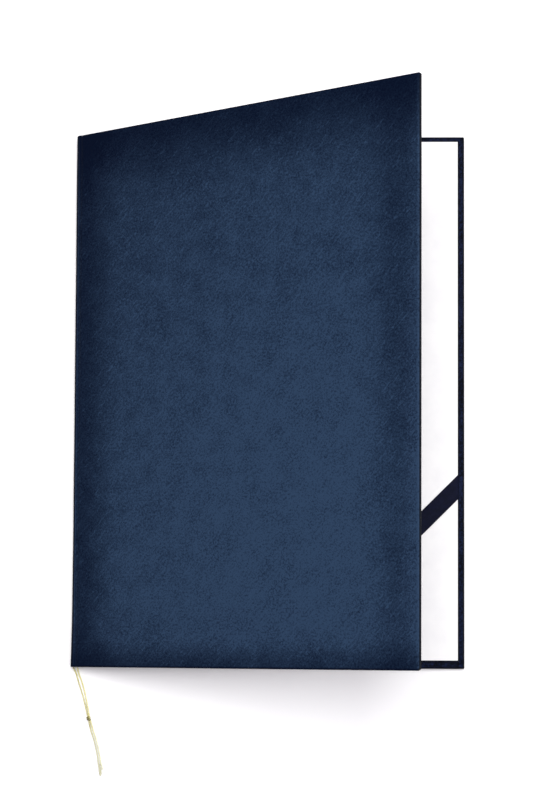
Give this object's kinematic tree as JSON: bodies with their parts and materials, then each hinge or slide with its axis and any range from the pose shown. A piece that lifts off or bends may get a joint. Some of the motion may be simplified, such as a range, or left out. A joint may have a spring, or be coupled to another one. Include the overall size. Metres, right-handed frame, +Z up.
{
  "type": "congratulation folder",
  "caption": "Leatherette-covered presentation folder with a soft rounded spine, white lining sheets, a ribbon across a lower inside corner and a knotted gold cord round the spine",
  "frame": {"origin": "on the table, under the middle of the folder's outline, measured without the cord", "axes": "+X from the spine to the free edge, +Y from the bottom edge to the top edge along the spine, +Z up from the table; the front cover is open 31 degrees at rest"},
  "size_m": [0.2277, 0.3744, 0.1212],
  "materials": {
    "leatherette": "satin",
    "greyboard": "matte",
    "white_paper": "matte",
    "satin_ribbon": "satin",
    "gold_thread": "satin"
  },
  "bodies": {
    "back_cover": {"back_cover_skin": "leatherette", "back_board": "greyboard", "back_lining": "white_paper", "corner_ribbon": "satin_ribbon", "spine_fold": "leatherette", "hinge_strip": "leatherette", "cord_spine_loop": "gold_thread", "cord_outer_strand": "gold_thread", "cord_inner_strand": "gold_thread", "cord_knot": "gold_thread", "cord_long_tail": "gold_thread", "cord_short_tail": "gold_thread"},
    "front_cover": {"front_cover_skin": "leatherette", "front_board": "greyboard", "front_lining": "white_paper"}
  },
  "joints": [
    {"name": "cover_hinge", "type": "hinge", "parent": "back_cover", "child": "front_cover", "pos_m": [-0.1089, 0, 0.0037], "axis": [0, -1, 0], "range_deg": [-31, 149], "deforming": ["spine_fold", "hinge_strip", "cord_spine_loop"]}
  ]
}
